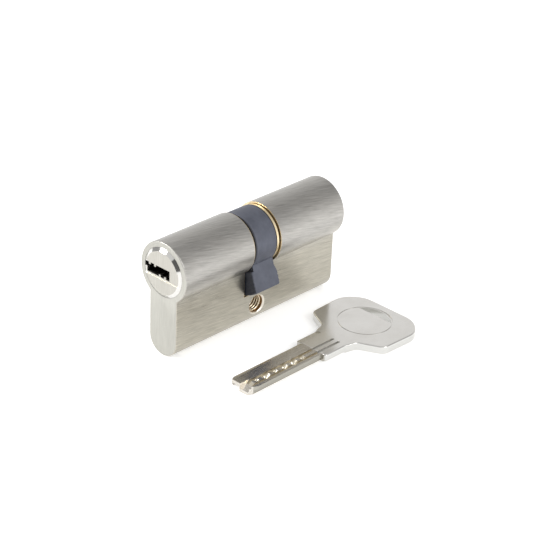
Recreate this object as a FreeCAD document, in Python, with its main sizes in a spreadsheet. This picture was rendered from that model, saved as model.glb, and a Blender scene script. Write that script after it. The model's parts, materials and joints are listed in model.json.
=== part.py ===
"""Euro profile double cylinder with its key, millimetres.

Origin on the plug axis, in the plane of the fixing screw. +Y runs along the plugs towards the
rear side, +X is to the right of someone facing the front plug, and +Z is up.
"""
import FreeCAD
import Part
import os
import Sketcher

DOC = FreeCAD.newDocument("EuroCylinder")

# ---------------------------------------------------------------- driving dimensions (mm)

DIMENSIONS = {
    # housing
    "housing_length": 60.0,
    "housing_radius": 8.5,
    "stem_width": 10.0,
    "overall_height": 33.0,
    "root_fillet": 0.5,
    "end_fillet": 0.3,
    "slot_width": 10.0,
    "slot_radius": 15.4,
    "bore_radius": 6.53,
    "rim_bore_radius": 6.96,
    "rim_bore_depth": 1.3,
    "fixing_depth": 18.4,
    "fixing_radius": 2.5,
    "fixing_chamfer": 0.45,
    # pin stacks
    "pin_radius": 1.3,
    "pin_flat_radius": 0.45,
    "pin_edge": 0.1,
    "chamber_radius": 1.33,
    "first_pin": 8.3,
    "pin_pitch": 3.4,
    "key_pin_end": 6.3,
    "driver_top": 6.55,
    "driver_length": 6.5,
    "driver_waist_radius": 0.95,
    "spring_radius": 1.05,
    "spring_wire_radius": 0.15,
    "spring_turns": 7.0,
    "chamber_plug_top": 21.9,
    "chamber_plug_bottom": 24.1,
    # hardened pins against drilling
    "guard_radius": 0.75,
    "guard_side": 2.9,
    "guard_station": 27.4,
    "guard_top": 9.0,
    "guard_bottom": 22.4,
    "plug_guard_side": 2.2,
    "plug_guard_station": 26.5,
    "plug_guard_bottom": 2.3,
    "plug_guard_top": 5.9,
    # plug
    "plug_radius": 6.5,
    "plug_rim_radius": 6.9,
    "plug_rim_depth": 1.2,
    "plug_face_radius": 6.0,
    "plug_proud": 0.65,
    "plug_neck_radius": 5.9,
    "plug_inner_end": 2.6,
    "clip_groove_radius": 5.4,
    "clip_groove_inner": 3.85,
    "clip_groove_outer": 4.65,
    "face_band_height": 3.9,
    "face_band_depth": 0.25,
    "clutch_bore_radius": 4.1,
    "clutch_bore_end": 6.7,
    "clutch_slot_width": 3.1,
    "clutch_slot_reach": 4.95,
    # keyway, seen from outside the plug
    "keyway_centre": 1.85,
    "keyway_height": 2.8,
    "keyway_right": 2.7,
    "keyway_left": 6.55,
    "keyway_step_side": 5.6,
    "ward_width": 0.65,
    "ward_height": 0.6,
    "ward_inner": 0.9,
    "ward_outer": 2.9,
    # retaining ring
    "clip_inner_radius": 5.45,
    "clip_front_radius": 7.4,
    "clip_rear_radius": 8.0,
    "clip_thickness": 0.7,
    "clip_station": 3.9,
    "clip_sweep": 300.0,
    "clip_turn": 90.0,
    # cam
    "cam_ring_radius": 8.05,
    "cam_ring_width": 7.6,
    "cam_ring_chamfer": 0.2,
    "cam_seat_radius": 5.95,
    "cam_web_width": 5.0,
    "cam_web_radius": 4.2,
    "bit_reach": 15.0,
    "bit_across": 9.0,
    "bit_thickness": 9.0,
    "bit_root": 8.35,
    "bit_flare_start": 8.65,
    "bit_flare_end": 10.6,
    "bit_angle": 19.5,
    "bit_corner": 0.6,
    "bit_chamfer": 0.2,
    "bit_line_start": 10.2,
    "bit_line_pitch": 1.0,
    "bit_line_width": 0.35,
    "bit_line_depth": 0.1,
    # clutch dogs
    "dog_radius": 3.95,
    "dog_thickness": 3.0,
    "dog_ear_width": 3.0,
    "dog_ear_reach": 4.85,
    "dog_front_face": 4.0,
    "dog_hub_radius": 2.5,
    "dog_hub_length": 1.8,
    "dog_rear_face": 5.6,
    "dog_rear_hub_length": 1.75,
    "dog_nose_width": 3.6,
    "dog_nose_height": 2.2,
    "dog_nose_length": 0.25,
    # how far a cut runs into a space beside it
    "overlap": 0.2,
    # key
    "key_station": 26.5,
    "key_thickness": 2.4,
    "blade_width": 8.4,
    "blade_tip": 27.9,
    "blade_start": 1.4,
    "blade_step_width": 0.6,
    "blade_step_depth": 1.3,
    "blade_bevel_width": 1.0,
    "blade_bevel_drop": 0.25,
    "blade_groove_width": 0.8,
    "blade_groove_depth": 0.55,
    "groove_run": 6.3,
    "dimple_row": 1.85,
    "ramp_length": 3.0,
    "bow_disc_station": 20.2,
    "bow_disc_radius": 7.6,
    "bow_disc_line": 0.25,
    "bow_disc_depth": 0.15,
    "bow_slot_radius": 7.1,
    "bow_slot_chord": 4.2,
    "bow_edge_fillet": 0.35,
    "tip_corner_across": 1.4,
    "tip_corner_along": 2.5,
    "ramp_station": 1.55,
    "ramp_depth": 1.5,
    "ramp_width": 2.9,
    "neck_bevel_width": 1.8,
    "neck_bevel_drop": 0.5,
    "neck_bevel_end": 6.5,
    # corners of the bow and neck: distance across, distance along, easing radius
    "crown_across": 9.2,
    "crown_along": 30.3,
    "crown_ease": 7.0,
    "shoulder_across": 13.7,
    "shoulder_along": 25.5,
    "shoulder_ease": 6.0,
    "waist_across": 13.2,
    "waist_along": 13.3,
    "waist_ease": 2.4,
    "throat_across": 6.4,
    "throat_along": 9.9,
    "throat_ease": 2.0,
    "neck_across": 5.4,
    "neck_along": 5.8,
    "neck_ease": 2.2,
    "stop_ease": 0.8,
}

# Depth of the key's cut under each pin, counted from the pin nearest the cam.
CUT_DEPTHS = {
    "cut_1": 0.3,
    "cut_2": 0.95,
    "cut_3": 0.4,
    "cut_4": 0.8,
    "cut_5": 1.0,
    "cut_6": 0.65,
}

SIDES = {"front": -1, "rear": 1}
PIN_COUNT = len(CUT_DEPTHS)
BIT_LINES = 5


class Size:
    """A number together with the spreadsheet expression that gives it."""

    def __init__(self, value, text):
        self.value = value
        self.text = text

    def __add__(self, other):
        other = as_size(other)
        return Size(self.value + other.value, f"({self.text} + {other.text})")

    def __sub__(self, other):
        other = as_size(other)
        return Size(self.value - other.value, f"({self.text} - {other.text})")

    def __mul__(self, other):
        other = as_size(other)
        return Size(self.value * other.value, f"({self.text} * {other.text})")

    def __truediv__(self, other):
        other = as_size(other)
        return Size(self.value / other.value, f"({self.text} / {other.text})")

    def __neg__(self):
        return self * -1


def as_size(number):
    """Plain numbers join an expression as they are."""
    if isinstance(number, Size):
        return number
    return Size(float(number), f"{float(number):g}")


def make_sheet():
    """Write the driving dimensions to the spreadsheet and return them by alias."""
    sheet = DOC.addObject("Spreadsheet::Sheet", "Sizes")
    sizes = {}
    for row, (alias, number) in enumerate({**DIMENSIONS, **CUT_DEPTHS}.items(), start=1):
        sheet.set(f"A{row}", alias)
        sheet.set(f"B{row}", str(number))
        sheet.setAlias(f"B{row}", alias)
        sizes[alias] = Size(number, f"Sizes.{alias}")
    DOC.recompute()
    return sizes


S = make_sheet()


# ---------------------------------------------------------------- helpers

def bind(feature, path, size):
    """Drive a property from the sheet."""
    feature.setExpression(path, as_size(size).text)


def new_body(label):
    body = DOC.addObject("PartDesign::Body", label)
    body.Label = label
    return body


def new_sketch(body, name, plane, lift=None, rise=None, turn=None):
    """Sketch on an origin plane of its own body.

    It can be lifted along the plane's normal, raised within the plane, and turned clockwise.
    """
    sketch = body.newObject("Sketcher::SketchObject", name)
    base = next(item for item in body.Origin.OriginFeatures if item.Role == plane)
    sketch.AttachmentSupport = [(base, "")]
    sketch.MapMode = "FlatFace"
    if lift is not None:
        bind(sketch, "AttachmentOffset.Base.z", lift)
    if rise is not None:
        bind(sketch, "AttachmentOffset.Base.y", rise)
    if turn is not None:
        sketch.AttachmentOffset = FreeCAD.Placement(
            FreeCAD.Vector(), FreeCAD.Rotation(FreeCAD.Vector(0, 0, -1), turn.value))
        bind(sketch, "AttachmentOffset.Rotation.Angle", turn)
    return sketch


def hold(sketch, edge, end, across, up):
    """Hold one point of a sketch at a place given by two sizes."""
    for kind, axis, size in (("DistanceX", -2, as_size(across)), ("DistanceY", -1, as_size(up))):
        if abs(size.value) < 1e-9:
            sketch.addConstraint(Sketcher.Constraint("PointOnObject", edge, end, axis))
        elif size.value > 0:
            index = sketch.addConstraint(Sketcher.Constraint(kind, -1, 1, edge, end, size.value))
            sketch.setExpression(f"Constraints[{index}]", size.text)
        else:
            index = sketch.addConstraint(Sketcher.Constraint(kind, edge, end, -1, 1, -size.value))
            sketch.setExpression(f"Constraints[{index}]", (-size).text)


def outline(sketch, corners):
    """Closed run of straight edges with every corner held."""
    first = sketch.GeometryCount
    places = [FreeCAD.Vector(as_size(a).value, as_size(b).value, 0) for a, b in corners]
    count = len(corners)
    for number in range(count):
        line = Part.LineSegment(places[number], places[(number + 1) % count])
        sketch.addGeometry(line, False)
    for number in range(count):
        following = first + (number + 1) % count
        sketch.addConstraint(Sketcher.Constraint("Coincident", first + number, 2, following, 1))
    for number, (across, up) in enumerate(corners):
        hold(sketch, first + number, 1, across, up)


def block(sketch, left, right, low, high):
    """Rectangle between two pairs of sizes."""
    outline(sketch, [(left, low), (right, low), (right, high), (left, high)])


def circle(sketch, radius, across=0, up=0):
    """Circle with its centre held and its radius bound."""
    centre = FreeCAD.Vector(as_size(across).value, as_size(up).value, 0)
    edge = sketch.addGeometry(Part.Circle(centre, FreeCAD.Vector(0, 0, 1), radius.value), False)
    hold(sketch, edge, 3, across, up)
    index = sketch.addConstraint(Sketcher.Constraint("Radius", edge, radius.value))
    sketch.setExpression(f"Constraints[{index}]", radius.text)


def pad(body, name, sketch, length, symmetric=False, reverse=False):
    feature = body.newObject("PartDesign::Pad", name)
    feature.Profile = sketch
    feature.SideType = "Symmetric" if symmetric else "One side"
    feature.Reversed = reverse
    bind(feature, "Length", length)
    body.Tip = feature
    return finish_step(body, feature, adds=True)


def pocket(body, name, sketch, length, symmetric=False, reverse=False):
    feature = body.newObject("PartDesign::Pocket", name)
    feature.Profile = sketch
    feature.SideType = "Symmetric" if symmetric else "One side"
    feature.Reversed = reverse
    bind(feature, "Length", length)
    body.Tip = feature
    return finish_step(body, feature, adds=False)


def revolve(body, name, sketch, axis, cut=False, sweep=None):
    kind = "PartDesign::Groove" if cut else "PartDesign::Revolution"
    feature = body.newObject(kind, name)
    feature.Profile = sketch
    feature.ReferenceAxis = (sketch, [axis])
    if sweep is None:
        feature.Angle = 360
    else:
        bind(feature, "Angle", sweep)
    body.Tip = feature
    return finish_step(body, feature, adds=not cut)


def dress(body, kind, name, base, edges, size):
    """Fillet or chamfer the named edges or faces of the feature before it."""
    feature = body.newObject(f"PartDesign::{kind}", name)
    feature.Base = (base, edges)
    bind(feature, "Radius" if kind == "Fillet" else "Size", size)
    body.Tip = feature
    DOC.recompute()
    VOLUMES[body.Name] = feature.Shape.Volume
    return feature


VOLUMES = {}


def finish_step(body, feature, adds):
    """Recompute and make sure that the feature really added or removed material."""
    DOC.recompute()
    volume = feature.Shape.Volume
    change = volume - VOLUMES.get(body.Name, 0.0)
    if change * (1 if adds else -1) < 1e-6:
        raise RuntimeError(f"{body.Label}.{feature.Name} changed nothing")
    VOLUMES[body.Name] = volume
    return feature


def edges_where(feature, test):
    """Names of the edges whose middle point passes a test."""
    names = []
    for number, edge in enumerate(feature.Shape.Edges, start=1):
        middle = edge.valueAt((edge.FirstParameter + edge.LastParameter) / 2)
        if test(edge, middle):
            names.append(f"Edge{number}")
    return names


def near(a, b, slack=0.02):
    return abs(a - b) < slack


# ---------------------------------------------------------------- housing

HALF_LENGTH = S["housing_length"] / 2
FOOT = S["overall_height"] - S["housing_radius"]
FOOT_RADIUS = S["stem_width"] / 2


def pin_station(number):
    """Distance of a pin from the fixing screw's plane."""
    return S["first_pin"] + S["pin_pitch"] * number


def make_housing():
    """Profile body with the cam slot, the plug bore, twelve chambers and the fixing hole."""
    body = new_body("housing")
    half_stem = S["stem_width"] / 2

    sketch = new_sketch(body, "round_outline", "XZ_Plane")
    circle(sketch, S["housing_radius"])
    pad(body, "round", sketch, S["housing_length"], symmetric=True)

    sketch = new_sketch(body, "stem_outline", "XZ_Plane")
    block(sketch, -half_stem, half_stem, -(FOOT - FOOT_RADIUS), 0)
    pad(body, "stem", sketch, S["housing_length"], symmetric=True)

    sketch = new_sketch(body, "foot_outline", "XZ_Plane")
    circle(sketch, FOOT_RADIUS, 0, -(FOOT - FOOT_RADIUS))
    foot = pad(body, "foot", sketch, S["housing_length"], symmetric=True)

    root_depth = (S["housing_radius"].value ** 2 - half_stem.value ** 2) ** 0.5
    roots = edges_where(foot, lambda edge, middle: near(abs(middle.x), half_stem.value)
                        and near(middle.z, -root_depth) and near(middle.y, 0))
    rooted = dress(body, "Fillet", "root_fillets", foot, roots, S["root_fillet"])
    ends = edges_where(rooted, lambda edge, middle: near(abs(middle.y), HALF_LENGTH.value)
                       and abs(edge.BoundBox.YLength) < 0.01)
    dress(body, "Fillet", "end_fillets", rooted, ends, S["end_fillet"])

    sketch = new_sketch(body, "slot_outline", "XZ_Plane")
    circle(sketch, S["slot_radius"])
    pocket(body, "cam_slot", sketch, S["slot_width"], symmetric=True)

    beyond = HALF_LENGTH + 1
    rim_floor = HALF_LENGTH - S["rim_bore_depth"]
    sketch = new_sketch(body, "bore_outline", "YZ_Plane")
    outline(sketch, [
        (-beyond, 0),
        (-beyond, S["rim_bore_radius"]),
        (-rim_floor, S["rim_bore_radius"]),
        (-rim_floor, S["bore_radius"]),
        (rim_floor, S["bore_radius"]),
        (rim_floor, S["rim_bore_radius"]),
        (beyond, S["rim_bore_radius"]),
        (beyond, 0),
    ])
    revolve(body, "plug_bore", sketch, "H_Axis", cut=True)

    sketch = new_sketch(body, "chamber_mouths", "XY_Plane")
    for side in SIDES.values():
        for number in range(PIN_COUNT):
            circle(sketch, S["chamber_radius"], 0, pin_station(number) * side)
    pocket(body, "chambers", sketch, FOOT + 1)

    sketch = new_sketch(body, "guard_mouths", "XY_Plane", lift=-S["guard_top"])
    for side in SIDES.values():
        for across in (-1, 1):
            circle(sketch, S["guard_radius"], S["guard_side"] * across, S["guard_station"] * side)
    pocket(body, "guard_holes", sketch, FOOT)

    mouth = S["fixing_radius"] + S["fixing_chamfer"]
    sketch = new_sketch(body, "fixing_section", "XZ_Plane", rise=-S["fixing_depth"])
    outline(sketch, [
        (-half_stem - 1, 0),
        (-half_stem - 1, mouth),
        (-half_stem, mouth),
        (-half_stem + S["fixing_chamfer"], S["fixing_radius"]),
        (half_stem - S["fixing_chamfer"], S["fixing_radius"]),
        (half_stem, mouth),
        (half_stem + 1, mouth),
        (half_stem + 1, 0),
    ])
    revolve(body, "fixing_hole", sketch, "H_Axis", cut=True)
    return body


def make_chamber_plugs(side):
    """Six press plugs that close the chambers from below."""
    body = new_body(f"{side}_chamber_plugs")
    sketch = new_sketch(body, "plug_outlines", "XY_Plane", lift=-S["chamber_plug_bottom"])
    for number in range(PIN_COUNT):
        circle(sketch, S["chamber_radius"], 0, pin_station(number) * SIDES[side])
    pad(body, "plugs", sketch, S["chamber_plug_bottom"] - S["chamber_plug_top"])
    return body


def make_housing_guards(side):
    """Hardened pins either side of the foremost chamber."""
    body = new_body(f"{side}_housing_guard_pins")
    sketch = new_sketch(body, "guard_outlines", "XY_Plane", lift=-S["guard_bottom"])
    for across in (-1, 1):
        circle(sketch, S["guard_radius"], S["guard_side"] * across,
               S["guard_station"] * SIDES[side])
    pad(body, "guards", sketch, S["guard_bottom"] - S["guard_top"])
    return body


# ---------------------------------------------------------------- plugs

def keyway_outline(sketch):
    """Keyway section: two ribs from above, two from below and one filled corner."""
    half = S["keyway_height"] / 2
    centre = -S["keyway_centre"]
    rib = S["ward_width"] / 2
    rib_top = -half + S["ward_height"]
    rib_bottom = half - S["ward_height"]
    left = -S["keyway_left"]
    step = -S["keyway_step_side"]
    corners = [(left, half), (left, 0), (step, 0), (step, -half)]
    for place in (S["ward_inner"], S["ward_outer"]):
        corners += [(centre + place - rib, -half), (centre + place - rib, rib_top),
                    (centre + place + rib, rib_top), (centre + place + rib, -half)]
    corners += [(S["keyway_right"], -half), (S["keyway_right"], half)]
    for place in (S["ward_inner"], S["ward_outer"]):
        corners += [(centre - place + rib, half), (centre - place + rib, rib_bottom),
                    (centre - place - rib, rib_bottom), (centre - place - rib, half)]
    outline(sketch, corners)


def make_plug(side):
    """Plug with its bevelled face, keyway, pin bores, clip groove and clutch seat.

    It is drawn as the front plug; the rear plug is the same piece turned half way round.
    """
    body = new_body(f"{side}_plug")
    face = HALF_LENGTH + S["plug_proud"]
    rim_end = HALF_LENGTH - S["plug_rim_depth"]

    sketch = new_sketch(body, "section", "YZ_Plane")
    outline(sketch, [
        (-face, 0),
        (-face, S["plug_face_radius"]),
        (-HALF_LENGTH, S["plug_rim_radius"]),
        (-rim_end, S["plug_rim_radius"]),
        (-rim_end, S["plug_radius"]),
        (-S["clip_groove_outer"], S["plug_radius"]),
        (-S["clip_groove_outer"], S["clip_groove_radius"]),
        (-S["clip_groove_inner"], S["clip_groove_radius"]),
        (-S["clip_groove_inner"], S["plug_neck_radius"]),
        (-S["plug_inner_end"], S["plug_neck_radius"]),
        (-S["plug_inner_end"], S["clutch_bore_radius"]),
        (-S["clutch_bore_end"], S["clutch_bore_radius"]),
        (-S["clutch_bore_end"], 0),
    ])
    revolve(body, "blank", sketch, "H_Axis")

    sketch = new_sketch(body, "clutch_slot_outline", "XZ_Plane", lift=S["plug_inner_end"])
    block(sketch, -S["clutch_slot_width"] / 2, S["clutch_slot_width"] / 2,
          -S["clutch_slot_reach"], S["clutch_slot_reach"])
    pocket(body, "clutch_slot", sketch, S["clutch_bore_end"] - S["plug_inner_end"], reverse=True)

    sketch = new_sketch(body, "band_outline", "XZ_Plane", lift=face - S["face_band_depth"])
    block(sketch, -S["plug_radius"] - 1, S["plug_radius"] + 1,
          -S["face_band_height"] / 2, S["face_band_height"] / 2)
    pocket(body, "face_band", sketch, S["face_band_depth"] + 1, reverse=True)

    sketch = new_sketch(body, "keyway_outline", "XZ_Plane", lift=S["clutch_bore_end"] - S["overlap"])
    keyway_outline(sketch)
    pocket(body, "keyway", sketch, HALF_LENGTH, reverse=True)

    sketch = new_sketch(body, "pin_mouths", "XY_Plane")
    for number in range(PIN_COUNT):
        circle(sketch, S["chamber_radius"], 0, -pin_station(number))
    pocket(body, "pin_bores", sketch, S["plug_radius"] + 1)

    sketch = new_sketch(body, "guard_mouths", "XY_Plane", lift=S["plug_guard_bottom"])
    for across in (-1, 1):
        circle(sketch, S["guard_radius"], S["plug_guard_side"] * across,
               -S["plug_guard_station"])
    pocket(body, "guard_holes", sketch, S["plug_radius"], reverse=True)
    return turn_to_side(body, side)


def turn_to_side(body, side):
    """Turn a piece that is drawn at the front half way round for the rear."""
    if side == "rear":
        half_turn = FreeCAD.Rotation(FreeCAD.Vector(0, 0, 1), 180)
        body.Placement = FreeCAD.Placement(FreeCAD.Vector(), half_turn)
        DOC.recompute()
    return body


def make_plug_guards(side):
    """Two hardened pins above the keyway, behind the plug's face."""
    body = new_body(f"{side}_plug_guard_pins")
    sketch = new_sketch(body, "guard_outlines", "XY_Plane", lift=S["plug_guard_bottom"])
    for across in (-1, 1):
        circle(sketch, S["guard_radius"], S["plug_guard_side"] * across,
               -S["plug_guard_station"])
    pad(body, "guards", sketch, S["plug_guard_top"] - S["plug_guard_bottom"])
    return turn_to_side(body, side)


def turn_about_plug_axis(body, angle):
    """Turn a finished body clockwise, as seen by someone facing the rear plug."""
    turned = FreeCAD.Rotation(FreeCAD.Vector(0, -1, 0), angle.value)
    body.Placement = FreeCAD.Placement(FreeCAD.Vector(), turned)
    bind(body, "Placement.Rotation.Angle", angle)
    DOC.recompute()


def make_retaining_ring(side):
    """Open ring that keeps the plug from being pulled out; its gap is low on the left."""
    body = new_body(f"{side}_retaining_ring")
    edges = sorted((S["clip_station"] * SIDES[side],
                    (S["clip_station"] + S["clip_thickness"]) * SIDES[side]),
                   key=lambda size: size.value)
    sketch = new_sketch(body, "section", "YZ_Plane")
    block(sketch, edges[0], edges[1], S["clip_inner_radius"], S[f"clip_{side}_radius"])
    revolve(body, "ring", sketch, "H_Axis", sweep=S["clip_sweep"])
    turn_about_plug_axis(body, S["clip_turn"])
    return body


# ---------------------------------------------------------------- pin stacks

def make_key_pin(side, number):
    """Pin in the plug, with a blunt cone that sits in the key's cut."""
    body = new_body(f"{side}_key_pin_{number + 1}")
    blade_under = -S["key_thickness"] / 2
    tip = blade_under + S[f"cut_{number + 1}"]
    flat = S["pin_flat_radius"]
    cone = S["pin_radius"] - flat
    edge = S["pin_edge"]
    sketch = new_sketch(body, "section", "XZ_Plane")
    outline(sketch, [
        (0, -S["key_pin_end"]),
        (S["pin_radius"] - edge, -S["key_pin_end"]),
        (S["pin_radius"], -S["key_pin_end"] + edge),
        (S["pin_radius"], tip - cone),
        (flat, tip),
        (0, tip),
    ])
    revolve(body, "pin", sketch, "V_Axis")
    bind(body, "Placement.Base.y", pin_station(number) * SIDES[side])
    return body


def make_driver_pin(side, number):
    """Spool pin in the housing, its head just outside the plug."""
    body = new_body(f"{side}_driver_pin_{number + 1}")
    top = -S["driver_top"]
    bottom = top - S["driver_length"]
    edge = S["pin_edge"]
    rim = S["pin_radius"]
    taper = S["pin_radius"] - S["driver_waist_radius"]
    sketch = new_sketch(body, "section", "XZ_Plane")
    outline(sketch, [
        (0, bottom),
        (rim - edge, bottom),
        (rim, bottom + edge),
        (rim, bottom + rim),
        (S["driver_waist_radius"], bottom + rim + taper),
        (S["driver_waist_radius"], top - rim - taper),
        (rim, top - rim),
        (rim, top - edge),
        (rim - edge, top),
        (0, top),
    ])
    revolve(body, "pin", sketch, "V_Axis")
    bind(body, "Placement.Base.y", pin_station(number) * SIDES[side])
    return body


def make_spring(side, number):
    """Compression spring between a driver pin and its chamber plug."""
    body = new_body(f"{side}_spring_{number + 1}")
    wire = S["spring_wire_radius"]
    length = S["chamber_plug_top"] - S["driver_top"] - S["driver_length"]
    rise = length - wire * 2
    sketch = new_sketch(body, "wire", "XZ_Plane")
    circle(sketch, wire, S["spring_radius"], wire)
    coil = body.newObject("PartDesign::AdditiveHelix", "coil")
    coil.Profile = sketch
    coil.ReferenceAxis = (sketch, ["V_Axis"])
    coil.Mode = "pitch-height-angle"
    bind(coil, "Pitch", rise / S["spring_turns"])
    bind(coil, "Height", rise)
    body.Tip = coil
    bind(body, "Placement.Base.y", pin_station(number) * SIDES[side])
    bind(body, "Placement.Base.z", -S["chamber_plug_top"])
    finish_step(body, coil, adds=True)
    return body


# ---------------------------------------------------------------- cam and clutch

def make_bit_lines(body):
    """Shallow round lines left by the cutter on both sides of the bit."""
    side = S["bit_thickness"] / 2
    sketch = new_sketch(body, "bit_lines_outline", "YZ_Plane")
    for number in range(BIT_LINES):
        radius = -S["bit_line_start"] - S["bit_line_pitch"] * number
        for low, high in ((side - S["bit_line_depth"], side + 1),
                          (-side - 1, -side + S["bit_line_depth"])):
            block(sketch, low, high, radius - S["bit_line_width"], radius)
    revolve(body, "bit_lines", sketch, "H_Axis", cut=True)


def make_cam():
    """Cam ring with its bit, drawn with the bit straight down and then turned."""
    body = new_body("cam")
    half_ring = S["cam_ring_width"] / 2
    half_web = S["cam_web_width"] / 2
    shoulder = S["cam_ring_radius"] - S["cam_ring_chamfer"]
    sketch = new_sketch(body, "ring_section", "YZ_Plane")
    outline(sketch, [
        (-half_ring, S["cam_seat_radius"]),
        (-half_ring, shoulder),
        (-half_ring + S["cam_ring_chamfer"], S["cam_ring_radius"]),
        (half_ring - S["cam_ring_chamfer"], S["cam_ring_radius"]),
        (half_ring, shoulder),
        (half_ring, S["cam_seat_radius"]),
        (half_web, S["cam_seat_radius"]),
        (half_web, S["cam_web_radius"]),
        (-half_web, S["cam_web_radius"]),
        (-half_web, S["cam_seat_radius"]),
    ])
    revolve(body, "ring", sketch, "H_Axis")

    half_bit = S["bit_across"] / 2
    sketch = new_sketch(body, "root_outline", "XZ_Plane")
    block(sketch, -half_bit, half_bit, -S["bit_root"] - 1, -S["cam_seat_radius"] - S["overlap"])
    pad(body, "root", sketch, S["cam_ring_width"], symmetric=True)

    sketch = new_sketch(body, "bit_outline", "XZ_Plane")
    block(sketch, -half_bit, half_bit, -S["bit_reach"] - 1, -S["bit_root"])
    pad(body, "bit", sketch, S["bit_thickness"], symmetric=True)

    sketch = new_sketch(body, "reach_outline", "XZ_Plane")
    circle(sketch, S["bit_reach"])
    circle(sketch, S["bit_reach"] + 6)
    pocket(body, "reach", sketch, S["bit_thickness"] + 2, symmetric=True)

    # The rear side of the bit narrows to the ring's width, clear of the retaining ring.
    half_thick = S["bit_thickness"] / 2
    sketch = new_sketch(body, "flare_outline", "YZ_Plane")
    outline(sketch, [
        (half_ring, -S["bit_root"] + S["overlap"]),
        (half_thick + 1, -S["bit_root"] + S["overlap"]),
        (half_thick + 1, -S["bit_flare_end"]),
        (half_thick, -S["bit_flare_end"]),
        (half_ring, -S["bit_flare_start"]),
    ])
    flared = pocket(body, "flare", sketch, S["bit_across"] + 2, symmetric=True)

    def on_tip(edge, middle):
        return near((middle.x ** 2 + middle.z ** 2) ** 0.5, S["bit_reach"].value)

    corner = edges_where(flared, lambda edge, middle:
                         on_tip(edge, middle) and near(middle.y, half_thick.value))
    rounded = dress(body, "Fillet", "bit_corner", flared, corner, S["bit_corner"])
    rims = edges_where(rounded, lambda edge, middle:
                       near(middle.y, -half_thick.value)
                       and (on_tip(edge, middle) or near(abs(middle.x), half_bit.value)))
    dress(body, "Chamfer", "bit_edges", rounded, rims, S["bit_chamfer"])
    make_bit_lines(body)

    sketch = new_sketch(body, "notch_outline", "XZ_Plane", turn=S["bit_angle"])
    block(sketch, -S["clutch_slot_width"] / 2, S["clutch_slot_width"] / 2,
          -S["clutch_slot_reach"], S["clutch_slot_reach"])
    pocket(body, "notches", sketch, S["cam_web_width"] + 1, symmetric=True)

    turn_about_plug_axis(body, S["bit_angle"])
    return body


def make_dog(label, inner_face, hub_end, outer_face):
    """Clutch dog: a disc with two ears, a hub towards its partner and a nose for the key."""
    body = new_body(label)
    away = 1 if outer_face.value > inner_face.value else -1
    thickness = S["dog_thickness"]
    middle = (inner_face + outer_face) / 2

    sketch = new_sketch(body, "disc_outline", "XZ_Plane", lift=-middle)
    circle(sketch, S["dog_radius"])
    pad(body, "disc", sketch, thickness, symmetric=True)

    sketch = new_sketch(body, "ear_outline", "XZ_Plane", lift=-middle)
    block(sketch, -S["dog_ear_width"] / 2, S["dog_ear_width"] / 2,
          -S["dog_ear_reach"], S["dog_ear_reach"])
    pad(body, "ears", sketch, thickness, symmetric=True)

    sketch = new_sketch(body, "hub_outline", "XZ_Plane", lift=-(inner_face + hub_end) / 2)
    circle(sketch, S["dog_hub_radius"])
    pad(body, "hub", sketch, (inner_face - hub_end) * away, symmetric=True)

    nose_middle = outer_face + S["dog_nose_length"] * away / 2
    sketch = new_sketch(body, "nose_outline", "XZ_Plane", lift=-nose_middle)
    block(sketch, -S["dog_nose_width"] / 2, S["dog_nose_width"] / 2,
          -S["dog_nose_height"] / 2, S["dog_nose_height"] / 2)
    pad(body, "nose", sketch, S["dog_nose_length"], symmetric=True)
    return body


def make_dogs():
    front_inner = -S["dog_front_face"] + S["dog_thickness"]
    rear_inner = S["dog_rear_face"] - S["dog_thickness"]
    return [
        make_dog("front_clutch_dog", front_inner, front_inner + S["dog_hub_length"],
                 -S["dog_front_face"]),
        make_dog("rear_clutch_dog", rear_inner, rear_inner - S["dog_rear_hub_length"],
                 S["dog_rear_face"]),
    ]


# ---------------------------------------------------------------- key

def bow_corners(mirror):
    """Corners of one half of the bow and neck, from the crown down, with their easing radii."""
    names = ("crown", "shoulder", "waist", "throat", "neck")
    corners = [(S[f"{name}_across"] * mirror, S[f"{name}_along"], S[f"{name}_ease"])
               for name in names]
    return corners + [(S["neck_across"] * mirror, -S["blade_start"], S["stop_ease"])]


def make_bow(body):
    """Flat bow and neck with eased corners and rims."""
    thick = S["key_thickness"]
    corners = bow_corners(-1) + bow_corners(1)[::-1]
    sketch = new_sketch(body, "bow_outline", "XY_Plane")
    outline(sketch, [(across, along) for across, along, ease in corners])
    bow = pad(body, "bow", sketch, thick)
    for name in ("crown", "shoulder", "waist", "throat", "neck", "stop"):
        ease = S[f"{name}_ease"]
        places = [(across.value, along.value) for across, along, size in corners
                  if size.text == ease.text]
        chosen = edges_where(bow, lambda edge, middle:
                             near(edge.BoundBox.ZLength, thick.value)
                             and any(near(middle.x, x) and near(middle.y, y) for x, y in places))
        bow = dress(body, "Fillet", f"{name}_corners", bow, chosen, ease)
    rims = edges_where(bow, lambda edge, middle: edge.BoundBox.ZLength < 0.01)
    dress(body, "Fillet", "bow_edges", bow, rims, S["bow_edge_fillet"])


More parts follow.
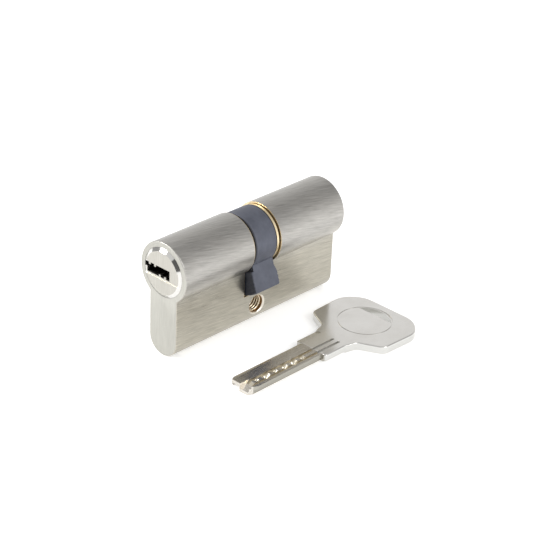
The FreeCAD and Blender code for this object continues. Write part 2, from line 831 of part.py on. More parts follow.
def make_bow_slot(body):
    """Slot for a ring: the top of the disc is cut away down to a chord."""
    radius = S["bow_slot_radius"]
    station = S["bow_disc_station"]
    chord = S["bow_slot_chord"]
    half = (radius.value ** 2 - chord.value ** 2) ** 0.5
    centre = FreeCAD.Vector(0, station.value, 0)
    left = FreeCAD.Vector(-half, station.value + chord.value, 0)
    right = FreeCAD.Vector(half, station.value + chord.value, 0)
    start = FreeCAD.Vector(1, 0, 0).getAngle(right - centre)
    full = Part.Circle(centre, FreeCAD.Vector(0, 0, 1), radius.value)
    stop = FreeCAD.Vector(1, 0, 0).getAngle(left - centre)

    sketch = new_sketch(body, "slot_outline", "XY_Plane")
    arc = sketch.addGeometry(Part.ArcOfCircle(full, start, stop), False)
    line = sketch.addGeometry(Part.LineSegment(left, right), False)
    sketch.addConstraint(Sketcher.Constraint("Coincident", arc, 1, line, 2))
    sketch.addConstraint(Sketcher.Constraint("Coincident", arc, 2, line, 1))
    sketch.addConstraint(Sketcher.Constraint("Horizontal", line))
    hold(sketch, arc, 3, 0, station)
    index = sketch.addConstraint(Sketcher.Constraint("Radius", arc, radius.value))
    sketch.setExpression(f"Constraints[{index}]", radius.text)
    height = station + chord
    index = sketch.addConstraint(Sketcher.Constraint("DistanceY", -1, 1, line, 1, height.value))
    sketch.setExpression(f"Constraints[{index}]", height.text)
    pocket(body, "ring_slot", sketch, S["key_thickness"], reverse=True)


def make_disc_lines(body):
    """Fine round line on each face of the bow."""
    thick = S["key_thickness"]
    depth = S["bow_disc_depth"]
    for face, level, upward in (("top", thick - depth, True), ("under", depth, False)):
        sketch = new_sketch(body, f"{face}_line_outline", "XY_Plane", lift=level)
        circle(sketch, S["bow_disc_radius"], 0, S["bow_disc_station"])
        circle(sketch, S["bow_disc_radius"] - S["bow_disc_line"], 0, S["bow_disc_station"])
        pocket(body, f"{face}_line", sketch, depth * 2, reverse=upward)


def blade_corners():
    """Section of the blade: two grooves in each face, and two opposite corners stepped."""
    half = S["blade_width"] / 2
    groove = S["blade_groove_width"] / 2
    floor = S["blade_groove_depth"]
    top = S["key_thickness"]
    corners = [(-half, 0)]
    for place in (S["ward_outer"], S["ward_inner"]):
        corners += [(-place - groove, 0), (-place - groove, floor),
                    (-place + groove, floor), (-place + groove, 0)]
    step = half - S["blade_step_width"]
    bevel = step - S["blade_bevel_width"]
    corners += [(bevel, 0), (step, S["blade_bevel_drop"]), (step, S["blade_step_depth"]),
                (half, S["blade_step_depth"]), (half, top)]
    for place in (S["ward_outer"], S["ward_inner"]):
        corners += [(place + groove, top), (place + groove, top - floor),
                    (place - groove, top - floor), (place - groove, top)]
    corners += [(-bevel, top), (-step, top - S["blade_bevel_drop"]),
                (-step, top - S["blade_step_depth"]), (-half, top - S["blade_step_depth"])]
    return corners


def make_groove_runs(body):
    """Grooves of the blade run on into the neck and end round, as the cutter left them."""
    thick = S["key_thickness"]
    floor = S["blade_groove_depth"]
    radius = S["blade_groove_width"] / 2
    for face, level, hand in (("top", thick - floor, 1), ("under", floor, -1)):
        places = [S["ward_inner"] * hand, S["ward_outer"] * hand]
        sketch = new_sketch(body, f"{face}_runs_outline", "XY_Plane", lift=level)
        for place in places:
            block(sketch, place - radius, place + radius, -S["blade_start"] - S["overlap"],
                  S["groove_run"])
        pocket(body, f"{face}_runs", sketch, floor * 2, reverse=hand > 0)
        sketch = new_sketch(body, f"{face}_run_ends_outline", "XY_Plane", lift=level)
        for place in places:
            circle(sketch, radius, place, S["groove_run"])
        pocket(body, f"{face}_run_ends", sketch, floor * 2, reverse=hand > 0)


def make_neck_bevels(body):
    """Long bevels on two opposite edges of the neck, in line with those of the blade."""
    thick = S["key_thickness"]
    edge = S["neck_across"]
    width = S["neck_bevel_width"]
    drop = S["neck_bevel_drop"]
    sketch = new_sketch(body, "neck_bevels_outline", "XZ_Plane", lift=-S["neck_bevel_end"])
    outline(sketch, [(-edge + width, thick), (-edge - width, thick), (-edge - width, thick - drop * 2)])
    outline(sketch, [(edge - width, 0), (edge + width, 0), (edge + width, drop * 2)])
    pocket(body, "neck_bevels", sketch, S["neck_bevel_end"] + S["blade_start"], reverse=True)


def make_cuts(body):
    """Cone cuts in a row on each face, one under each pin, so the key works either way up."""
    shoulder = HALF_LENGTH + S["plug_proud"]
    tip = S["pin_flat_radius"]
    for number in range(PIN_COUNT):
        along = S["blade_start"] + shoulder - pin_station(number)
        depth = S[f"cut_{number + 1}"]
        mouth = tip + depth + S["overlap"]
        for face in ("top", "under"):
            cone = body.newObject("PartDesign::SubtractiveCone", f"{face}_cut_{number + 1}")
            upward = face == "top"
            bind(cone, "Radius1", tip if upward else mouth)
            bind(cone, "Radius2", mouth if upward else tip)
            bind(cone, "Height", depth + S["overlap"])
            bind(cone, "Placement.Base.x", S["dimple_row"] * (1 if upward else -1))
            bind(cone, "Placement.Base.y", -along)
            bind(cone, "Placement.Base.z",
                 S["key_thickness"] - depth if upward else -S["overlap"])
            body.Tip = cone
            finish_step(body, cone, adds=False)


def make_blade_tip(body):
    """Ramps that lift the pins, and cut-back corners."""
    tip = S["blade_tip"]
    thick = S["key_thickness"]
    back = -tip + S["ramp_length"]
    ramps = (("top", S["ramp_station"], thick, thick - S["ramp_depth"]),
             ("under", -S["ramp_station"], 0, S["ramp_depth"]))
    for face, lift, level, drop in ramps:
        sketch = new_sketch(body, f"{face}_ramp_outline", "YZ_Plane", lift=lift)
        outline(sketch, [(-tip, level), (-tip, drop), (back, level)])
        pocket(body, f"{face}_ramp", sketch, S["ramp_width"], symmetric=True)
    half = S["blade_width"] / 2
    sketch = new_sketch(body, "tip_corner_outline", "XY_Plane")
    for hand in (-1, 1):
        outline(sketch, [(half * hand, -tip), (half * hand, -tip + S["tip_corner_along"]),
                         ((half - S["tip_corner_across"]) * hand, -tip)])
    pocket(body, "tip_corners", sketch, thick, reverse=True)


def make_key():
    """Key lying flat beside the housing, tip forward: bow, neck and a dimpled blade."""
    body = new_body("key")
    make_bow(body)
    make_bow_slot(body)
    make_disc_lines(body)
    make_neck_bevels(body)
    sketch = new_sketch(body, "blade_section", "XZ_Plane", lift=S["blade_start"])
    outline(sketch, blade_corners())
    pad(body, "blade", sketch, S["blade_tip"] - S["blade_start"])
    make_groove_runs(body)
    make_cuts(body)
    make_blade_tip(body)
    bind(body, "Placement.Base.x", S["key_station"])
    bind(body, "Placement.Base.z", -FOOT)
    DOC.recompute()
    return body


# ---------------------------------------------------------------- assembly and export

def make_bodies():
    bodies = [make_housing(), make_cam()] + make_dogs()
    for side in SIDES:
        bodies += [make_plug(side), make_plug_guards(side), make_retaining_ring(side),
                   make_housing_guards(side), make_chamber_plugs(side)]
        for number in range(PIN_COUNT):
            bodies += [make_key_pin(side, number), make_driver_pin(side, number),
                       make_spring(side, number)]
    bodies.append(make_key())
    DOC.recompute()
    return bodies


def check(bodies):
    """Stop if any object of the document failed or any piece is not a sound solid."""
    failed = [item.Label for item in DOC.Objects if {"Invalid", "Error"} & set(item.State)]
    if failed:
        raise RuntimeError(f"failed: {failed}")
    for body in bodies:
        if body.Shape.isNull() or not body.Shape.isValid() or not body.Shape.Solids:
            raise RuntimeError(f"{body.Label} is not a valid solid")


def main():
    os.makedirs("parts", exist_ok=True)
    bodies = make_bodies()
    check(bodies)
    for body in bodies:
        body.Shape.exportStep(f"parts/{body.Label}.step")
        print(body.Label, round(body.Shape.Volume, 2), len(body.Shape.Solids))


main()
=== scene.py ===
"""Looks of the euro cylinder and its key: plated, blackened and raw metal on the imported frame."""
import json
import math

import bmesh
import bpy
from mathutils import Matrix, Vector


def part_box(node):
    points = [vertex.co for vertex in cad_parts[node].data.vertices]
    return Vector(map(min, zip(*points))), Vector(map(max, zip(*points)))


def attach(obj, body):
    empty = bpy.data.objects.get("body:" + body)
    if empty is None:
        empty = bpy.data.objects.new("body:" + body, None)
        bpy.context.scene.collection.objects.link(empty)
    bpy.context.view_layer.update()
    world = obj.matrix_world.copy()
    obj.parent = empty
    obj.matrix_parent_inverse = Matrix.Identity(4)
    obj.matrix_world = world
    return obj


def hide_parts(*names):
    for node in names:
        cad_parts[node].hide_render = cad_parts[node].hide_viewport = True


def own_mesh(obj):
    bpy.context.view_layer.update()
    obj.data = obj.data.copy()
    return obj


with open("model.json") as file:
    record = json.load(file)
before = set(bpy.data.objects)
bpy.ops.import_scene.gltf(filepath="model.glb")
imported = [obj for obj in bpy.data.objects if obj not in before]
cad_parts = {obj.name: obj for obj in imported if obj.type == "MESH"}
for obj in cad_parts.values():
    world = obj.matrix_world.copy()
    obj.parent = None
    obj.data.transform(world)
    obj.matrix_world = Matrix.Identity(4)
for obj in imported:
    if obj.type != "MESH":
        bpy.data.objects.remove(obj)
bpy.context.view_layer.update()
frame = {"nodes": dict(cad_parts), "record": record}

NODES = frame["nodes"]
MOUNTS = {mount["name"]: mount for mount in frame["record"]["mounts"]}
SIDES = ("front", "rear")
PINS_PER_SIDE = 6
MM = 0.001

# ---------------------------------------------------------------- places read from the frame

HOUSING_LOW, HOUSING_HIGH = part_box("housing")
FLOOR_LEVEL = HOUSING_LOW.z
HALF_LENGTH = HOUSING_HIGH.y / MM
HOLE = MOUNTS["fixing_screw"]
HOLE_LEVEL = HOLE["pos_m"][2] / MM
HOLE_RADIUS = HOLE["dims"]["r_mm"]
HOLE_LENGTH = HOLE["dims"]["length_mm"]
KEY_LOW, KEY_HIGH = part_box("key")
KEY_TOP = KEY_HIGH.z / MM
KEY_MIDDLE = (KEY_LOW.x + KEY_HIGH.x) / 2 / MM

# Edges on the CAD nodes where a finish changes, in millimetres; EASE is the width of a sharp change.
ROUND_RADIUS = 8.5
HALF_STEM = 5.0
STEM_START = -6.6
STEM_WHOLE = -7.4
SLOT_HALF = 5.0
SLOT_RADIUS = 15.4
BORE_RADIUS = 6.97
HOLE_CHAMFER = 0.44
BEVEL_START = 6.0
BLADE_START = -1.2
BLADE_FLAT = 3.5
TIP_END = KEY_LOW.y / MM + 1.6
EASE = 0.02


# ---------------------------------------------------------------- node helpers

class Shade:
    """Short names for the nodes of one material; sockets are passed on as they are."""

    def __init__(self, name):
        self.material = bpy.data.materials.new(name)
        self.material.use_nodes = True
        self.tree = self.material.node_tree
        self.tree.nodes.clear()
        self.coords = self.node("ShaderNodeTexCoord")
        scaled = self.node("ShaderNodeVectorMath", operation="SCALE")
        self.tree.links.new(self.coords.outputs["Object"], scaled.inputs[0])
        scaled.inputs["Scale"].default_value = 1 / MM
        self.point = scaled.outputs[0]
        self.normal = self.coords.outputs["Normal"]

    def node(self, kind, inputs=None, **settings):
        """Add a node; inputs are its sockets by name or number, settings its own properties."""
        made = self.tree.nodes.new(kind)
        for key, value in settings.items():
            setattr(made, key, value)
        for key, value in (inputs or {}).items():
            self.feed(made.inputs[key], value)
        return made

    def feed(self, socket, value):
        """Link another node's socket to this one, or set a plain value on it."""
        if isinstance(value, bpy.types.NodeSocket):
            self.tree.links.new(value, socket)
        else:
            socket.default_value = value

    def math(self, operation, a, b=0.0):
        return self.node("ShaderNodeMath", {0: a, 1: b}, operation=operation).outputs[0]

    def axes(self, vector):
        made = self.node("ShaderNodeSeparateXYZ", {0: vector})
        return made.outputs[0], made.outputs[1], made.outputs[2]

    def length(self, a, b):
        """Length of the vector with these two parts."""
        squares = self.math("ADD", self.math("MULTIPLY", a, a), self.math("MULTIPLY", b, b))
        return self.math("SQRT", squares)

    def step(self, value, low, high):
        """0 below low and 1 above high, or the other way round if low is the greater."""
        made = self.node("ShaderNodeMapRange",
                         {"Value": value, "From Min": low, "From Max": high,
                          "To Min": 0.0, "To Max": 1.0})
        made.clamp = True
        return made.outputs[0]

    def both(self, *masks):
        """Where all the masks are on."""
        result = masks[0]
        for mask in masks[1:]:
            result = self.math("MULTIPLY", result, mask)
        return result

    def either(self, *masks):
        """Where at least one of the masks is on."""
        result = masks[0]
        for mask in masks[1:]:
            result = self.math("MAXIMUM", result, mask)
        return result

    def noise(self, sizes, turn=(0, 0, 0), detail=3.0, rough=0.6, shift=(0, 0, 0), point=None):
        """Noise with a cell of the given sizes in millimetres along three turned axes."""
        placed = self.node("ShaderNodeMapping",
                           {"Vector": point or self.point, "Location": shift,
                            "Rotation": [math.radians(a) for a in turn], "Scale": sizes},
                           vector_type="TEXTURE")
        made = self.node("ShaderNodeTexNoise",
                         {"Vector": placed.outputs[0], "Scale": 1.0, "Detail": detail,
                          "Roughness": rough})
        return made.outputs[0]

    def range(self, value, low, high):
        """Map the middle of a noise to a range of values."""
        made = self.node("ShaderNodeMapRange",
                         {"Value": value, "From Min": 0.25, "From Max": 0.75,
                          "To Min": low, "To Max": high})
        made.clamp = True
        return made.outputs[0]

    def blend(self, factor, a, b):
        """Mix two numbers."""
        made = self.node("ShaderNodeMix", data_type="FLOAT")
        self.feed(made.inputs[0], factor)
        self.feed(made.inputs[2], a)
        self.feed(made.inputs[3], b)
        return made.outputs[0]

    def tint(self, factor, a, b, mode="MIX"):
        """Mix two colours."""
        made = self.node("ShaderNodeMix", data_type="RGBA", blend_type=mode)
        self.feed(made.inputs[0], factor)
        for socket, colour in ((made.inputs[6], a), (made.inputs[7], b)):
            self.feed(socket, colour if isinstance(colour, bpy.types.NodeSocket) else rgba(colour))
        return made.outputs[2]

    def grey(self, value):
        made = self.node("ShaderNodeCombineColor", {0: value, 1: value, 2: value})
        return made.outputs[0]

    def bump(self, height, depth_mm):
        inputs = {"Height": height, "Distance": depth_mm * MM, "Strength": 1.0}
        return self.node("ShaderNodeBump", inputs).outputs[0]

    def metal(self, colour, roughness, normal=None, anisotropic=0.0, tangent=None, metallic=1.0,
              glow=0.0):
        """End the tree with a Principled shader and return the material."""
        surface = self.node("ShaderNodeBsdfPrincipled",
                            {"Base Color": colour, "Roughness": roughness, "Metallic": metallic,
                             "Anisotropic": anisotropic, "Emission Strength": glow,
                             "Emission Color": rgba((1.0, 1.0, 1.0))})
        if normal is not None:
            self.feed(surface.inputs["Normal"], normal)
        if tangent is not None:
            self.feed(surface.inputs["Tangent"], tangent)
        output = self.node("ShaderNodeOutputMaterial")
        self.tree.links.new(surface.outputs[0], output.inputs[0])
        return self.material


def rgba(colour):
    return (*colour, 1.0)


# Colours, linear.
NICKEL = (0.63, 0.615, 0.585)
NICKEL_DARK = (0.27, 0.26, 0.245)
NICKEL_CLOUD = (0.55, 0.51, 0.44)
WARM_CAST = (1.0, 0.975, 0.88)
END_DARK = (0.39, 0.385, 0.35)
END_PALE = (0.54, 0.53, 0.485)
CUT_BRASS_DARK = (0.72, 0.58, 0.36)
CUT_BRASS_PALE = (0.93, 0.82, 0.60)
HOLE_CHAMFER_METAL = (0.80, 0.76, 0.67)
# Painted shade: dark brown for the fixing hole's wall, where shade falls in the hole.
HOLE_WALL_PAINTED_SHADE = (0.30, 0.185, 0.09)
PLUG_DARK = (0.40, 0.385, 0.345)
PLUG_PALE = (0.55, 0.535, 0.49)
PLUG_BEVEL = (0.66, 0.65, 0.625)
# Painted shade: near black, mottled, inside the keyway where shade falls.
PAINTED_KEYWAY_SHADE_DARK = (0.030, 0.028, 0.030)
PAINTED_KEYWAY_SHADE_PALE = (0.10, 0.085, 0.07)
CAM_DARK = (0.074, 0.080, 0.104)
CAM_PALE = (0.120, 0.129, 0.163)
CAM_SPECK = (0.155, 0.162, 0.19)
CAM_SIDE = (0.020, 0.023, 0.034)
KEY_DARK = (0.72, 0.70, 0.665)
KEY_PALE = (0.80, 0.785, 0.755)
# Painted reflection: brown for the housing's warm colour seen in the blade, laid over its real
# milled marks.
KEY_MILLED_REFLECTION = (0.46, 0.415, 0.345)
# Partly painted highlight: warm tint of the cut metal in the dimples and tip ramp, also standing for
# their warm glints.
KEY_CUT_AND_HIGHLIGHT = (0.80, 0.72, 0.55)
KEY_BOW_WALL = (0.66, 0.655, 0.63)
# Painted shade: dark colour of the blade's outer side walls.
KEY_BLADE_WALL_SHADE = (0.38, 0.365, 0.32)
BRASS = (0.80, 0.56, 0.26)
BRASS_DARK = (0.52, 0.34, 0.14)
STEEL = (0.52, 0.52, 0.53)
STEEL_DARK = (0.36, 0.36, 0.37)

# Belt marks: how far they lean on the round part and on the stem, in degrees, and their cells.
ROUND_LEAN = 13.0
STEM_LEAN = 6.0
FINE_MARK = (0.13, 4.0, 1.0)
BROAD_MARK = (0.36, 8.0, 1.0)
BROAD_SHIFT = (3.1, 7.7, 0)
# The stem's flat sides are unrolled from a level above the whole part.
UNROLL_LEVEL = 12.0


# ---------------------------------------------------------------- materials

def brushed(shade, x, y, z):
    """Belt marks of the housing: they wind round it, and lean less on the flat stem.

    The marks are drawn on the unrolled surface, so that they follow the round part.
    """
    on_stem = shade.both(shade.step(z, STEM_START, STEM_WHOLE),
                         shade.step(shade.math("ABSOLUTE", x), HALF_STEM + 0.6, HALF_STEM + 0.2))
    round_way = shade.math("MULTIPLY", shade.math("ARCTAN2", x, z), ROUND_RADIUS)
    side = shade.math("SIGN", x)
    flat_way = shade.math("MULTIPLY", side, shade.math("SUBTRACT", UNROLL_LEVEL, z))
    way = shade.blend(on_stem, round_way, flat_way)
    sheet = shade.node("ShaderNodeCombineXYZ", {0: way, 1: y, 2: 0.0}).outputs[0]
    marks = []
    for lean in (ROUND_LEAN, STEM_LEAN):
        fine = shade.noise(FINE_MARK, (0, 0, -lean), detail=2.0, point=sheet)
        broad = shade.noise(BROAD_MARK, (0, 0, -lean), detail=3.0, shift=BROAD_SHIFT, point=sheet)
        marks.append((fine, broad))
    return [shade.blend(on_stem, on_round, on_flat) for on_round, on_flat in zip(*marks)]


def lapped(shade):
    """Upright brush marks of the end faces."""
    fine = shade.noise((0.09, 0.4, 3.2), detail=2.0)
    broad = shade.noise((0.45, 1.0, 9.0), detail=2.0, shift=(5.3, 0, 1.9))
    return fine, broad


def mix_marks(shade, fine, broad):
    """Even mix of fine and broad brush marks."""
    return shade.math("ADD", shade.math("MULTIPLY", fine, 0.5), shade.math("MULTIPLY", broad, 0.5))


def facing_along(shade, low, high):
    """Mask of the faces that look along the plug axis."""
    _, facing, _ = shade.axes(shade.normal)
    return shade.step(shade.math("ABSOLUTE", facing), low, high)


def cut_brass_mask(shade, x, y, z, hole_distance):
    """Surfaces that were cut after plating: the cam slot, the fixing hole and the plug bore."""
    axis_distance = shade.length(x, z)
    along = shade.math("ABSOLUTE", y)
    in_slot = shade.both(shade.step(along, SLOT_HALF + 0.12, SLOT_HALF + EASE),
                         shade.step(axis_distance, SLOT_RADIUS + 0.06, SLOT_RADIUS + EASE))
    in_hole = shade.step(hole_distance, HOLE_RADIUS + 0.08, HOLE_RADIUS + EASE)
    in_bore = shade.both(shade.step(axis_distance, BORE_RADIUS + EASE, BORE_RADIUS),
                         shade.step(along, HALF_LENGTH - 0.05, HALF_LENGTH - 0.2))
    return in_hole, shade.either(in_slot, in_hole, in_bore)


def housing_material():
    """Nickel plate over brass, brushed lengthwise; raw brass where it was cut after plating; painted
    shade in the fixing hole.
    """
    shade = Shade("nickel_plated_brass")
    x, y, z = shade.axes(shade.point)
    end_face = facing_along(shade, 0.6, 0.85)

    fine, broad = brushed(shade, x, y, z)
    end_fine, end_broad = lapped(shade)
    fine = shade.blend(end_face, fine, end_fine)
    broad = shade.blend(end_face, broad, end_broad)
    cloud = shade.noise((9.0, 14.0, 7.0), detail=2.0)
    marks = mix_marks(shade, fine, broad)
    plated = shade.tint(shade.range(marks, 0.0, 1.0), NICKEL_DARK, NICKEL)
    plated = shade.tint(shade.range(cloud, 0.0, 0.12), plated, NICKEL_CLOUD)
    low = shade.step(z, -1.0, -9.0)
    plated = shade.tint(low, plated, shade.tint(1.0, plated, WARM_CAST, "MULTIPLY"))
    lapped_colour = shade.tint(shade.range(marks, 0.0, 1.0), END_DARK, END_PALE)
    plated = shade.tint(end_face, plated, lapped_colour)

    hole_distance = shade.length(y, shade.math("SUBTRACT", z, HOLE_LEVEL))
    in_hole, raw = cut_brass_mask(shade, x, y, z, hole_distance)
    chamfer_edge = HOLE_RADIUS + HOLE_CHAMFER
    on_chamfer = shade.step(hole_distance, chamfer_edge + 0.06, chamfer_edge)
    turned = shade.noise((0.25, 0.25, 0.25), detail=4.0)
    brass = shade.tint(shade.range(turned, 0.0, 1.0), CUT_BRASS_DARK, CUT_BRASS_PALE)
    colour = shade.tint(on_chamfer, plated, HOLE_CHAMFER_METAL)
    colour = shade.tint(raw, colour, brass)
    # Painted shade: the fixing hole's wall is coloured dark brown over the raw brass.
    colour = shade.tint(in_hole, colour, HOLE_WALL_PAINTED_SHADE)

    rough = shade.blend(end_face, shade.range(broad, 0.26, 0.42), shade.range(end_broad, 0.34, 0.46))
    rough = shade.blend(raw, rough, 0.38)
    height = shade.math("ADD", fine, shade.math("MULTIPLY", broad, 1.6))
    normal = shade.bump(height, 0.012)
    tangent = shade.node("ShaderNodeTangent", direction_type="RADIAL", axis="Y").outputs[0]
    return shade.metal(colour, rough, normal, anisotropic=0.55, tangent=tangent)


def plug_material():
    """Nickel-plated plug: lapped face, bright turned bevel, painted shade near black inside the
    keyway.
    """
    shade = Shade("plug_nickel")
    x, y, z = shade.axes(shade.point)
    away = shade.math("ABSOLUTE", y)
    distance = shade.length(x, z)
    end_face = facing_along(shade, 0.9, 0.97)
    bevel = shade.both(shade.step(distance, BEVEL_START - 2 * EASE, BEVEL_START + EASE),
                       shade.step(away, HALF_LENGTH - EASE, HALF_LENGTH))
    fine, broad = lapped(shade)
    marks = mix_marks(shade, fine, broad)
    colour = shade.tint(shade.range(marks, 0.0, 1.0), PLUG_DARK, PLUG_PALE)
    colour = shade.tint(bevel, colour, PLUG_BEVEL)
    inside = shade.step(away, HALF_LENGTH - 0.15, HALF_LENGTH - 0.6)
    shade_mottle = shade.noise((0.3, 1.2, 0.3), detail=4.0)
    # Painted shade: near black, mottled, inside the keyway.
    keyway_painted_shade = shade.tint(shade.range(shade_mottle, 0.0, 1.0), PAINTED_KEYWAY_SHADE_DARK, PAINTED_KEYWAY_SHADE_PALE)
    colour = shade.tint(inside, colour, keyway_painted_shade)
    rough = shade.blend(bevel, shade.range(broad, 0.30, 0.42), 0.09)
    depth = shade.both(end_face, shade.math("SUBTRACT", 1.0, bevel))
    height = shade.both(shade.math("ADD", fine, broad), depth)
    return shade.metal(colour, rough, shade.bump(height, 0.008))


def cam_material():
    """Blackened sintered steel: blue-grey and specked, with turned lines and darker side faces."""
    shade = Shade("blackened_steel")
    side_face = facing_along(shade, 0.6, 0.85)
    cloud = shade.noise((2.6, 2.2, 2.6), detail=3.0, rough=0.55)
    speck = shade.noise((0.12, 0.12, 0.12), detail=2.0)
    colour = shade.tint(shade.range(cloud, 0.0, 1.0), CAM_DARK, CAM_PALE)
    colour = shade.tint(shade.range(speck, 0.0, 0.25), colour, CAM_SPECK)
    colour = shade.tint(shade.math("MULTIPLY", side_face, 0.72), colour, CAM_SIDE)
    lines = shade.noise((1.8, 0.10, 1.8), detail=2.0)
    height = shade.math("ADD", shade.math("MULTIPLY", lines, 0.35),
                        shade.math("MULTIPLY", speck, 0.5))
    rough = shade.range(cloud, 0.44, 0.58)
    return shade.metal(colour, rough, shade.bump(height, 0.02), metallic=0.45)


def plain_metal(name, low, high, rough, sizes):
    """Turned, drawn or ground metal with a noise of the given cell for its marks."""
    shade = Shade(name)
    marks = shade.noise(sizes, detail=3.0)
    patch = shade.noise([size * 7 for size in sizes], detail=2.0, shift=(2, 5, 3))
    colour = shade.tint(shade.range(marks, 0.0, 1.0), low, high)
    colour = shade.tint(shade.range(patch, 0.0, 0.25), colour, low)
    return shade.metal(colour, shade.range(patch, rough * 0.8, rough * 1.25),
                       shade.bump(marks, 0.006))


def key_material():
    """Polished nickel silver: hairline scratches on the bow, milled marks along the blade; painted
    reflection, highlight and shade on the blade.
    """
    shade = Shade("nickel_silver")
    x, y, z = shade.axes(shade.point)
    blade = shade.step(y, BLADE_START, BLADE_START - 0.3)
    off_middle = shade.math("ABSOLUTE", shade.math("SUBTRACT", x, KEY_MIDDLE))
    deep = shade.both(blade, shade.step(y, TIP_END, TIP_END + 0.5),
                      shade.step(z, KEY_TOP - 0.06, KEY_TOP - 0.16),
                      shade.step(off_middle, BLADE_FLAT, BLADE_FLAT - 0.2))
    hair = shade.noise((0.06, 2.5, 0.3), (0, 0, 24), detail=2.0)
    milled = shade.noise((0.10, 7.0, 0.5), detail=2.0, shift=(1, 2, 3))
    cloud = shade.noise((6.0, 8.0, 4.0), detail=2.0)
    colour = shade.tint(shade.range(cloud, 0.0, 1.0), KEY_DARK, KEY_PALE)
    # Painted reflection in brown along the blade's real milled marks.
    colour = shade.tint(shade.both(blade, shade.range(milled, 0.1, 0.9)), colour, KEY_MILLED_REFLECTION)
    # Partly painted highlight: warm tint in the cut dimples and ramp.
    colour = shade.tint(shade.math("MULTIPLY", deep, 0.55), colour, KEY_CUT_AND_HIGHLIGHT)
    _, _, facing = shade.axes(shade.normal)
    wall = shade.step(shade.math("ABSOLUTE", facing), 0.75, 0.45)
    bow_wall = shade.both(wall, shade.math("SUBTRACT", 1.0, blade))
    colour = shade.tint(bow_wall, colour, KEY_BOW_WALL)
    # Painted shade on the blade's outer side walls.
    outer_wall = shade.both(wall, blade, shade.step(off_middle, BLADE_FLAT, BLADE_FLAT + 0.1))
    colour = shade.tint(outer_wall, colour, KEY_BLADE_WALL_SHADE)
    marks = shade.blend(blade, shade.math("MULTIPLY", hair, 0.3), milled)
    rough = shade.blend(blade, shade.range(cloud, 0.14, 0.22), shade.range(milled, 0.16, 0.32))
    return shade.metal(colour, rough, shade.bump(marks, 0.006))


# Plain metals: darker and paler colour, roughness and the cell of their marks in millimetres.
PLAIN_METALS = {
    "spring_bronze": ((0.84, 0.68, 0.43), (0.97, 0.86, 0.62), 0.30, (0.5, 0.05, 0.5)),
    "cut_brass": ((0.70, 0.58, 0.40), (0.92, 0.84, 0.68), 0.22, (0.3, 0.3, 0.3)),
    "turned_brass": (BRASS_DARK, BRASS, 0.30, (0.9, 0.9, 0.06)),
    "turned_steel": (STEEL_DARK, STEEL, 0.26, (0.9, 0.9, 0.06)),
    "hardened_steel": ((0.16, 0.16, 0.17), (0.30, 0.30, 0.31), 0.38, (0.2, 0.2, 0.8)),
    "spring_wire": ((0.45, 0.45, 0.46), (0.62, 0.62, 0.63), 0.22, (0.05, 0.05, 0.4)),
    "oiled_steel": ((0.20, 0.20, 0.21), (0.38, 0.38, 0.39), 0.34, (0.4, 0.06, 0.4)),
    "faced_brass": ((0.55, 0.38, 0.17), (0.84, 0.63, 0.32), 0.34, (0.08, 1.4, 0.4)),
}

# The finish of each node, by a part of its name; the first that fits is used.
FINISHES = (
    ("housing_guard_pins", "hardened_steel"),
    ("plug_guard_pins", "hardened_steel"),
    ("chamber_plugs", "faced_brass"),
    ("retaining_ring", "spring_bronze"),
    ("clutch_dog", "oiled_steel"),
    ("key_pin", "turned_brass"),
    ("driver_pin", "turned_steel"),
    ("spring", "spring_wire"),
    ("housing", "nickel_plated_brass"),
    ("cam", "blackened_steel"),
    ("key", "nickel_silver"),
    ("plug", "plug_nickel"),
)


def make_materials():
    """Every metal of the part, by its name."""
    made = [housing_material(), plug_material(), cam_material(), key_material()]
    made += [plain_metal(name, *look) for name, look in PLAIN_METALS.items()]
    return {material.name: material for material in made}


def assign_materials(materials):
    """Give each CAD node the finish of the real piece."""
    for name, node in NODES.items():
        chosen = materials[next(finish for part, finish in FINISHES if part in name)]
        if not node.material_slots:
            node.data.materials.append(chosen)
        for place in node.material_slots:
            place.material = chosen


# ---------------------------------------------------------------- added pieces

THREAD_PITCH = 0.8
THREAD_DEPTH = 0.42
THREAD_STEPS = 48
# Turns of thread left out at the mouths, share of a turn over which it fades out, how far its root
# lies in the wall, and the half widths of root and crest as shares of the pitch.
THREAD_SHORT = 0.6
THREAD_FADE = 0.4
THREAD_SINK = 0.03
ROOT_SHARE = 0.46
CREST_SHARE = 0.12
CREST_SHOULDER = 0.92


def fixing_thread(material):
    """Thread of the fixing hole: a helical ridge with rounded crests standing in from its wall."""
    turns = HOLE_LENGTH / THREAD_PITCH - THREAD_SHORT
    rings = int(turns * THREAD_STEPS)
    fading = THREAD_STEPS * THREAD_FADE
    half_root = THREAD_PITCH * ROOT_SHARE
    half_crest = THREAD_PITCH * CREST_SHARE
    shoulder = -THREAD_DEPTH * CREST_SHOULDER
    section = [(-half_root, THREAD_SINK), (-half_crest, shoulder), (0.0, -THREAD_DEPTH),
               (half_crest, shoulder), (half_root, THREAD_SINK)]
    mesh = bmesh.new()
    rows = []
    for ring in range(rings + 1):
        turn = 2 * math.pi * ring / THREAD_STEPS
        middle = (ring / THREAD_STEPS - turns / 2) * THREAD_PITCH
        fade = min(1.0, ring / fading, (rings - ring) / fading)
        row = []
        for along, inward in section:
            radius = HOLE_RADIUS + (inward * fade if inward < 0 else inward)
            row.append(mesh.verts.new(Vector((
                middle + along,
                radius * math.cos(turn),
                HOLE_LEVEL + radius * math.sin(turn),
            )) * MM))
        rows.append(row)
    for before, after in zip(rows, rows[1:]):
        for index in range(len(section)):
            following = (index + 1) % len(section)
            mesh.faces.new((before[index], after[index], after[following], before[following]))
    mesh.faces.new(rows[0])
    mesh.faces.new(rows[-1][::-1])
    bmesh.ops.recalc_face_normals(mesh, faces=mesh.faces)
    finish_piece("fixing_thread", mesh, material, "housing")


